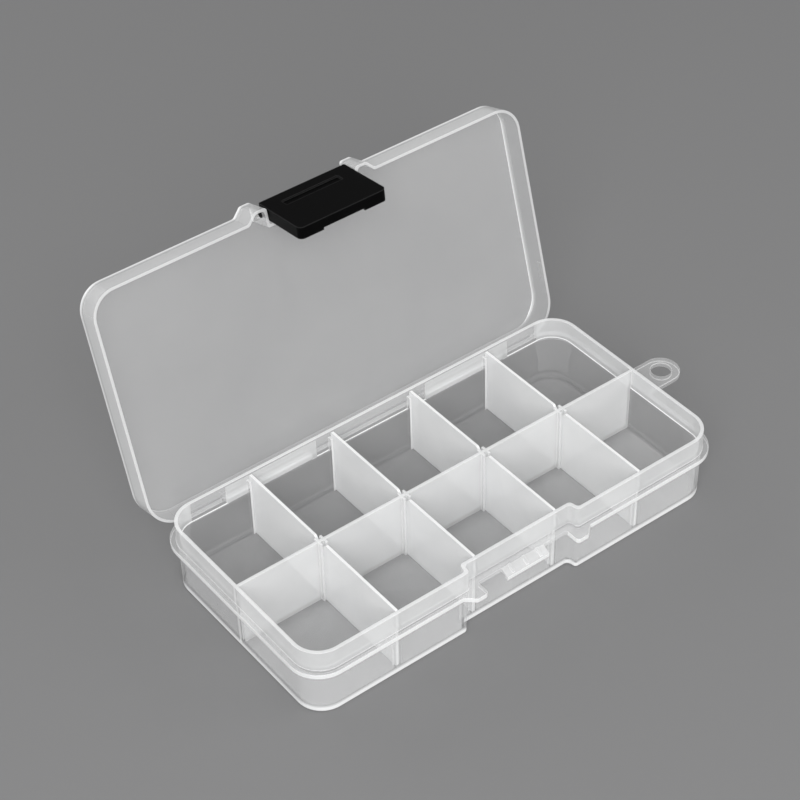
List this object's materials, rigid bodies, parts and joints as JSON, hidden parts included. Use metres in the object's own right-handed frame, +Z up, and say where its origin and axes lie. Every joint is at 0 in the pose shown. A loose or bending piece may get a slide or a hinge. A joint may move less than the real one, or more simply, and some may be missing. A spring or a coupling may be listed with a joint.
{
  "type": "bead organizer",
  "caption": "Clear hinged-lid bead organizer box with a black snap latch, a hang tab and loose divider plates that split its tray into rows of cells.",
  "frame": {"origin": "centre of the tray's flat underside, halfway along and across the tray without its hang tab", "axes": "+X along the box towards the hang tab, +Y towards the hinge at the back, +Z up out of the cells"},
  "size_m": [0.1415, 0.0927, 0.079],
  "materials": {
    "clear_plastic": "gloss",
    "divider_plastic": "satin",
    "black_plastic": "satin"
  },
  "bodies": {
    "tray": {"tray": "clear_plastic"},
    "lid": {"lid": "clear_plastic"},
    "latch": {"latch": "black_plastic"},
    "divider_back_1": {"divider_back_1": "divider_plastic"},
    "divider_back_2": {"divider_back_2": "divider_plastic"},
    "divider_back_3": {"divider_back_3": "divider_plastic"},
    "divider_back_4": {"divider_back_4": "divider_plastic"},
    "divider_front_1": {"divider_front_1": "divider_plastic"},
    "divider_front_2": {"divider_front_2": "divider_plastic"},
    "divider_front_3": {"divider_front_3": "divider_plastic"},
    "divider_front_4": {"divider_front_4": "divider_plastic"}
  },
  "joints": [
    {"name": "lid_hinge", "type": "hinge", "parent": "tray", "child": "lid", "pos_m": [0, 0.03205, 0.0141], "axis": [-1, 0, 0], "range_deg": [-106, 0]},
    {"name": "latch_hinge", "type": "hinge", "parent": "lid", "child": "latch", "pos_m": [0, 0.0529, 0.07522], "axis": [-1, 0, 0], "range_deg": [0, 100]},
    {"name": "divider_back_1_lift", "type": "slide", "parent": "tray", "child": "divider_back_1", "axis": [0, 0, 1], "range_m": [0, 0.022]},
    {"name": "divider_back_2_lift", "type": "slide", "parent": "tray", "child": "divider_back_2", "axis": [0, 0, 1], "range_m": [0, 0.022]},
    {"name": "divider_back_3_lift", "type": "slide", "parent": "tray", "child": "divider_back_3", "axis": [0, 0, 1], "range_m": [0, 0.022]},
    {"name": "divider_back_4_lift", "type": "slide", "parent": "tray", "child": "divider_back_4", "axis": [0, 0, 1], "range_m": [0, 0.022]},
    {"name": "divider_front_1_lift", "type": "slide", "parent": "tray", "child": "divider_front_1", "axis": [0, 0, 1], "range_m": [0, 0.022]},
    {"name": "divider_front_2_lift", "type": "slide", "parent": "tray", "child": "divider_front_2", "axis": [0, 0, 1], "range_m": [0, 0.022]},
    {"name": "divider_front_3_lift", "type": "slide", "parent": "tray", "child": "divider_front_3", "axis": [0, 0, 1], "range_m": [0, 0.022]},
    {"name": "divider_front_4_lift", "type": "slide", "parent": "tray", "child": "divider_front_4", "axis": [0, 0, 1], "range_m": [0, 0.022]}
  ]
}
